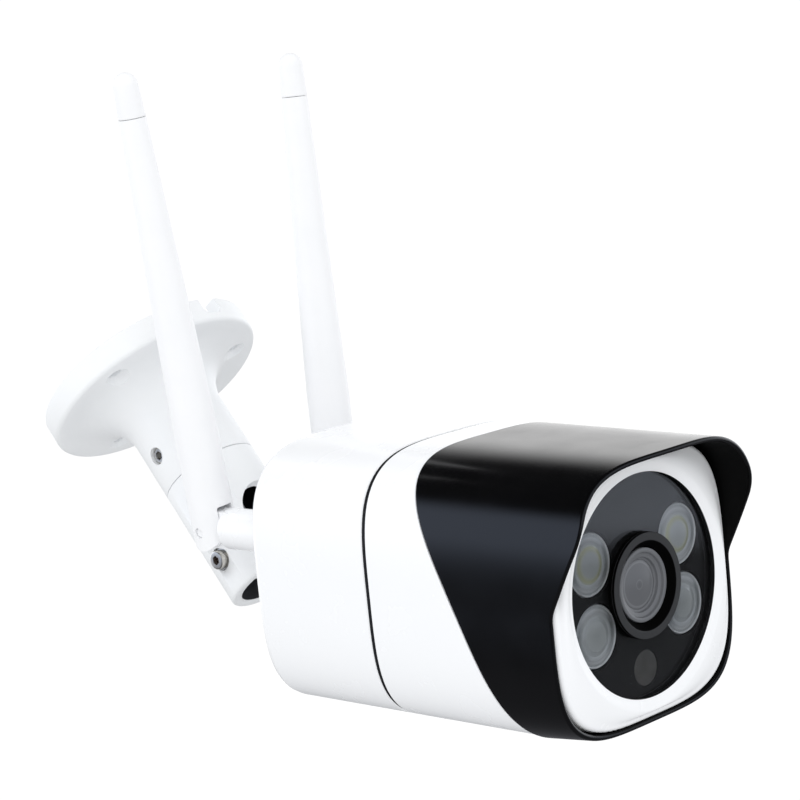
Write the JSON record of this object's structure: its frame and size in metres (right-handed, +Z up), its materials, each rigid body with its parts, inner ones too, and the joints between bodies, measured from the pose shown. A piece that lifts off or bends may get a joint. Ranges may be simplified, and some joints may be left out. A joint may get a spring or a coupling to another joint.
{
  "type": "security camera",
  "caption": "Bullet security camera with a hooded square body, round lamp-and-lens window, two antennas and a jointed wall bracket.",
  "frame": {"origin": "centre of the base flange's wall face, which is the centre of the circle of wall screws", "axes": "+Z up with the camera body level; the lens looks along -Y; +X is to the right of someone who faces the lens; the body's middle plane is X = 0"},
  "size_m": [0.0821, 0.2268, 0.1809],
  "materials": {
    "white_cast": "satin white powder coat on die-cast aluminium",
    "steel": "bright stainless steel",
    "rubber": "soft black rubber",
    "white_shell": "semi-gloss white moulded ABS",
    "black_shell": "satin black moulded ABS",
    "cover_glass": "clear cover glass, slightly smoked",
    "black_inner": "matt black moulded plastic",
    "sensor_window": "brownish translucent plastic",
    "sensor_element": "pale ceramic with a brown track",
    "lamp_lens": "clear moulded acrylic",
    "white_led": "yellow phosphor",
    "infrared_led": "dark die under clear silicone",
    "circuit_board": "black solder mask",
    "heat_sink": "plain rolled aluminium",
    "brass": "turned brass",
    "lens_barrel": "black anodised aluminium",
    "lens_glass": "coated optical glass",
    "filter_glass": "blue-green infrared filter glass",
    "chip": "black epoxy chip body",
    "tin_shield": "tinned steel shield can",
    "antenna_white": "satin white moulded plastic",
    "copper": "bare copper"
  },
  "bodies": {
    "mount_base": {"base_flange": "white_cast", "swivel_set_screw": "steel"},
    "arm": {"swivel_arm": "white_cast", "hinge_bolt": "steel", "hinge_nut": "steel", "hinge_washers": "steel"},
    "stem": {"camera_stem": "white_cast", "stem_lock_ring": "white_cast", "stem_seal": "rubber", "stem_nut": "steel"},
    "camera": {"rear_housing": "white_shell", "seam_gasket": "rubber", "front_housing": "white_shell", "sun_visor": "black_shell", "housing_screws": "steel", "glass_seal": "rubber", "cover_glass": "cover_glass", "led_mask": "black_inner", "sensor_window": "sensor_window", "light_sensor": "sensor_element", "lamp_lens_top_left": "lamp_lens", "lamp_lens_top_right": "lamp_lens", "lamp_lens_bottom_left": "lamp_lens", "lamp_lens_bottom_right": "lamp_lens", "led_top_left": "white_led", "led_top_right": "white_led", "led_bottom_left": "infrared_led", "led_bottom_right": "infrared_led", "led_board": "circuit_board", "heat_sink": "heat_sink", "heat_sink_screws": "steel", "lens_shroud": "black_inner", "lens_barrel": "lens_barrel", "front_lens": "lens_glass", "rear_lens": "lens_glass", "filter_housing": "black_inner", "sensor_board": "circuit_board", "image_sensor": "chip", "board_posts": "brass", "main_board": "circuit_board", "processor": "chip", "wifi_module": "tin_shield", "cable_gland": "rubber", "antenna_nuts": "steel"},
    "filter_shuttle": {"filter_slider": "black_inner", "infrared_filter": "filter_glass", "clear_filter": "lens_glass"},
    "left_antenna_base": {"left_knuckle": "antenna_white", "left_pin": "antenna_white"},
    "left_antenna_whip": {"left_whip": "antenna_white", "left_tip_cap": "antenna_white", "left_radiator": "copper"},
    "right_antenna_base": {"right_knuckle": "antenna_white", "right_pin": "antenna_white"},
    "right_antenna_whip": {"right_whip": "antenna_white", "right_tip_cap": "antenna_white", "right_radiator": "copper"}
  },
  "joints": [
    {"name": "base_swivel", "type": "hinge", "parent": "mount_base", "child": "arm", "pos_m": [0, 0, 0], "axis": [0, -0.6293, -0.7771], "range_deg": [-180, 180]},
    {"name": "arm_tilt", "type": "hinge", "parent": "arm", "child": "stem", "pos_m": [0, -0.04279, -0.05285], "axis": [1, 0, 0], "range_deg": [-15, 51]},
    {"name": "camera_roll", "type": "hinge", "parent": "stem", "child": "camera", "pos_m": [0, -0.08199, -0.05285], "axis": [0, 1, 0], "range_deg": [-180, 180]},
    {"name": "filter_shift", "type": "slide", "parent": "camera", "child": "filter_shuttle", "axis": [1, 0, 0], "range_m": [0, 0.0068]},
    {"name": "left_antenna_swivel", "type": "hinge", "parent": "camera", "child": "left_antenna_base", "pos_m": [-0.025, -0.08199, -0.03995], "axis": [0, 1, 0], "range_deg": [-84, 20]},
    {"name": "left_antenna_fold", "type": "hinge", "parent": "left_antenna_base", "child": "left_antenna_whip", "pos_m": [-0.025, -0.05399, -0.03995], "axis": [-0.9942, 0, -0.108], "range_deg": [0, 18]},
    {"name": "right_antenna_swivel", "type": "hinge", "parent": "camera", "child": "right_antenna_base", "pos_m": [0.025, -0.08199, -0.03995], "axis": [0, 1, 0], "range_deg": [-16, 84]},
    {"name": "right_antenna_fold", "type": "hinge", "parent": "right_antenna_base", "child": "right_antenna_whip", "pos_m": [0.025, -0.05399, -0.03995], "axis": [-0.9999, 0, -0.0105], "range_deg": [0, 18]}
  ]
}
